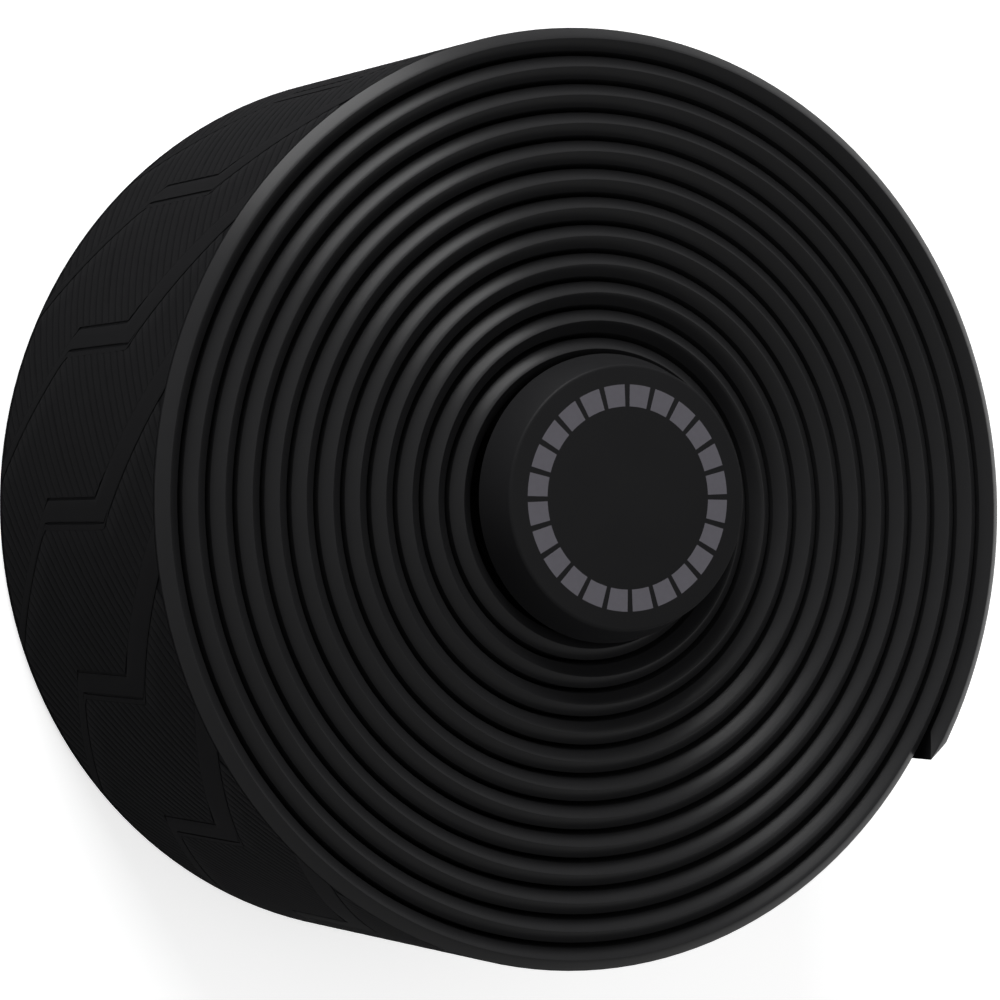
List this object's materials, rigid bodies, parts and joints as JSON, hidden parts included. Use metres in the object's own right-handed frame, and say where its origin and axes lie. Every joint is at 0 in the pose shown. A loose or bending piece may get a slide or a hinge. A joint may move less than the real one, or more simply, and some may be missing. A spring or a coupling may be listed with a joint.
{
  "type": "handlebar tape roll",
  "caption": "Roll of grippy handlebar tape with bevelled edges, wound in an open spiral, with a push-in bar end plug capping its core.",
  "frame": {"origin": "middle of the roll's footprint, on the surface that the roll stands on; the plug stands on the Z axis", "axes": "+Z along the roll's axis, from the edge it stands on to the plug's cap; +X to the right of the picture, and the tape's outer end lies towards +X and -Y"},
  "size_m": [0.0802, 0.0792, 0.0424],
  "materials": {
    "tape": "matte, soft foam with a fine embossed grip",
    "plug": "satin moulded plastic"
  },
  "bodies": {
    "root": {"tape_roll": "tape", "bar_end_plug": "plug"}
  },
  "joints": []
}
